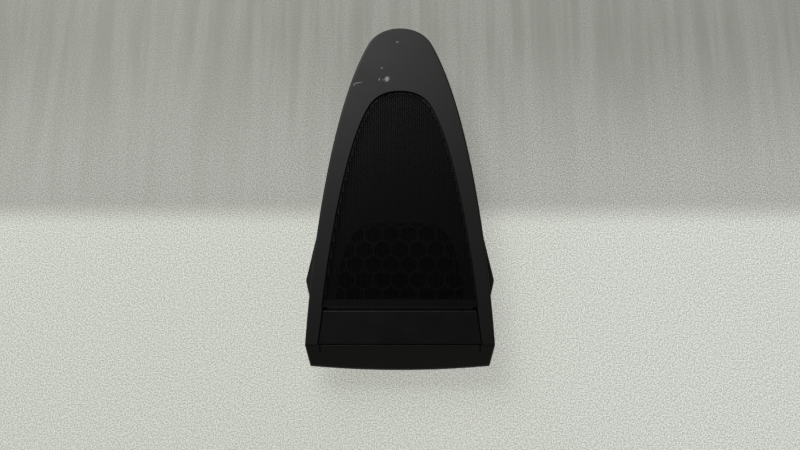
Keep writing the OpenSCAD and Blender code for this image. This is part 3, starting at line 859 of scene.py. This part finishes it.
def make_materials():
    return {
        "soft_touch": soft_touch(),
        "cloth_black": woven_cloth(),
        "grille_black": painted_sheet(),
        "cover_black": moulded(
            "cover_black", 11, rough=0.44, grain=1800, depth=0.00002, specular=0.15, wear=3
        ),
        "carrier_black": carrier_plastic(),
        "felt": felt("felt", 44),
        "foam_black": foam("foam_black", 28),
        "screw_black": metal("screw_black", 96, 96, 100, 0.36),
        "sleeve_zinc": metal("sleeve_zinc", 206, 206, 204, 0.3, (1, 1, 8)),
        "spring_steel": metal("spring_steel", 170, 172, 176, 0.28, (1, 12, 1)),
        "faceplate_black": moulded("faceplate_black", 34, rough=0.48),
        "dome_silk": woven("dome_silk", 24),
        "surround_silk": woven("surround_silk", 27, 0.38),
        "former_foil": metal("former_foil", 214, 178, 104, 0.3),
        "coil_copper": metal("coil_copper", 206, 122, 78, 0.3, (1, 1, 14)),
        "pole_steel": metal("pole_steel", 176, 178, 182, 0.34),
        "magnet_nickel": metal("magnet_nickel", 212, 210, 202, 0.2),
        "yoke_zinc": metal("yoke_zinc", 196, 198, 198, 0.34, spots=0.15),
        "cup_black": moulded("cup_black", 33, rough=0.52, grain=1100),
        "absorber_foam": foam("absorber_foam", 46, 650),
        "board_phenolic": moulded("board_phenolic", 52, (10, 0, -8), 0.4, 800),
        "tinned_brass": metal("tinned_brass", 210, 196, 150, 0.26, spots=0.1),
        "nylon_natural": moulded("nylon_natural", 222, (0, -3, -14), 0.36, 900, 0.00001, wear=8),
        "capacitor_sleeve": moulded(
            "capacitor_sleeve", 66, (-22, 4, 52), 0.3, 600, 0.00001, wear=8
        ),
        "lead_tinned": metal("lead_tinned", 204, 204, 206, 0.24),
        "insulation_red": moulded(
            "insulation_red", 120, (26, -84, -88), 0.36, 700, 0.00001, wear=10
        ),
        "insulation_black": moulded(
            "insulation_black", 32, rough=0.36, grain=700, depth=0.00001
        ),
    }


# ---------------------------------------------------------------- the object
materials = make_materials()


def dress(o, slot_name):
    o.data.materials.clear()
    o.data.materials.append(materials[slot_name])


bezel = make_bezel()
bar = make_bar()
bosses = make_bosses()
ledge = make_ledge()
sheet = make_grille()
cover, tabs = make_cover()
cloth, cloth_flat, cloth_area = make_cloth()
for piece, slot_name, stands_for in (
    (bezel, "soft_touch", "bezel"),
    # the bar, part of the bezel, takes the grille's darker black instead of the soft-touch paint:
    # painted shade for its recess
    (bar, "grille_black", "bezel"),
    (bosses, "soft_touch", "bezel"),
    (ledge, "soft_touch", "bezel"),
    (sheet, "grille_black", "grille_mesh"),
    (cover, "cover_black", "lower_cover"),
    (tabs, "cover_black", "lower_cover"),
    (cloth, "cloth_black", "dust_cloth"),
):
    dress(piece, slot_name)
    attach(piece, "housing")
    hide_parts(stands_for)

# the frame's own meshes, each with the finish of its slot
NODE_SLOTS = {
    "cover_felt": "felt", "carrier": "carrier_black", "perimeter_seal": "foam_black",
    "carrier_screws": "screw_black", "fixing_sleeves": "sleeve_zinc",
    "spring_clips": "spring_steel", "tweeter_faceplate": "faceplate_black",
    "tweeter_gasket": "foam_black", "tweeter_screws": "screw_black", "dome": "dome_silk",
    "surround": "surround_silk", "coil_former": "former_foil", "voice_coil": "coil_copper",
    "lead_outs": "coil_copper", "diaphragm_frame": "faceplate_black", "damping_pad": "felt",
    "top_plate": "pole_steel", "magnet": "magnet_nickel", "yoke": "yoke_zinc",
    "rear_cup": "cup_black", "cup_absorber": "absorber_foam", "terminal_board": "board_phenolic",
    "terminals": "tinned_brass", "lead_receptacles": "nylon_natural",
    "capacitor": "capacitor_sleeve", "capacitor_leads": "lead_tinned", "capacitor_pad": "foam_black",
    "connector_socket": "nylon_natural", "connector_pins": "tinned_brass",
    "lead_positive": "insulation_red", "lead_negative": "insulation_black",
    "lead_clips": "nylon_natural",
}
for name, slot_name in NODE_SLOTS.items():
    dress(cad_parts[name], slot_name)


# ---------------------------------------------------------------- stage, light and camera
def make_floor():
    n = Nodes("floor_sheet")
    place = n.node("ShaderNodeSeparateXYZ")
    n.link(n.coords, place.inputs[0])
    along = n.ranged(place.outputs["Y"], -0.03, 0.0, 0.0, 1.0)
    far = n.ranged(place.outputs["Y"], 0.0, 0.2, 0.0, 1.0)
    shade = n.math("MULTIPLY", far, n.ranged(place.outputs["X"], -0.35, 0.35, 0.72, 0.86))
    # painted light: the floor's near and far tones are lighter towards +X
    right = n.ranged(place.outputs["X"], -0.1, 0.35, 0.0, 1.0)
    cell = n.noise(780, 3.0, 0.8)
    cloud = n.noise(3.0, 2.0, 0.5)
    streaks = n.noise(60, 2.0, 0.6, (1, 0.06, 1))
    near_tone = n.mix(right, rgb(138, 140, 133), rgb(146, 148, 143))
    far_tone = n.mix(right, rgb(109, 110, 105), rgb(118, 119, 115))
    colour = n.mix(along, near_tone, far_tone)
    colour = n.mix(shade, colour, rgb(74, 76, 70))
    faint = n.math("MULTIPLY", n.math("MULTIPLY", along, 0.2), n.ranged(streaks, 0.35, 0.65, 0, 1))
    colour = n.mix(faint, colour, rgb(126, 127, 123))
    pits = n.mix(along, rgb(90, 91, 87), rgb(70, 71, 67))
    colour = n.mix(n.ranged(cell, 0.4, 0.6, 0.0, 0.85), colour, pits)
    colour = n.mix(n.math("MULTIPLY", cloud, 0.08), colour, rgb(160, 161, 155))
    material = n.done(colour, 0.85, n.bump(cell, 0.0006, 0.5), specular=0.2)
    # painted light: the floor glows with its own colour, lifting the shadows on it
    n.link(colour, n.shader.inputs["Emission Color"])
    n.shader.inputs["Emission Strength"].default_value = 2.15
    mesh = bpy.data.meshes.new("floor")
    mesh.from_pydata([(-6, -6, 0), (6, -6, 0), (6, 6, 0), (-6, 6, 0)], [], [(0, 1, 2, 3)])
    mesh.materials.append(material)
    floor = bpy.data.objects.new("floor", mesh)
    bpy.context.scene.collection.objects.link(floor)


def area_light(name, place, size, power):
    """A rectangular softbox aimed at the object's middle."""
    data = bpy.data.lights.new(name, "AREA")
    data.shape = "RECTANGLE"
    data.size, data.size_y = size
    data.energy = power
    o = bpy.data.objects.new(name, data)
    o.location = place
    o.rotation_mode = "QUATERNION"
    o.rotation_quaternion = (-Vector(place)).to_track_quat("-Z", "Y")
    bpy.context.scene.collection.objects.link(o)


make_floor()
area_light("key", (-0.62, 1.25, 1.12), (1.1, 0.9), 39)

world = bpy.data.worlds.new("world")
world.use_nodes = True
world.node_tree.nodes["Background"].inputs["Color"].default_value = (1, 1, 0.98, 1)
world.node_tree.nodes["Background"].inputs["Strength"].default_value = 0.17
bpy.context.scene.world = world

camera_data = bpy.data.cameras.new("camera")
camera_data.lens = 33.3
camera_data.sensor_width = 36
camera = bpy.data.objects.new("camera", camera_data)
elevation = math.radians(78.5)
camera.location = (0, -0.1792, 0.746)
camera.rotation_euler = (math.pi / 2 - elevation, 0, 0)
bpy.context.scene.collection.objects.link(camera)
bpy.context.scene.camera = camera
bpy.context.scene.view_settings.view_transform = "Standard"
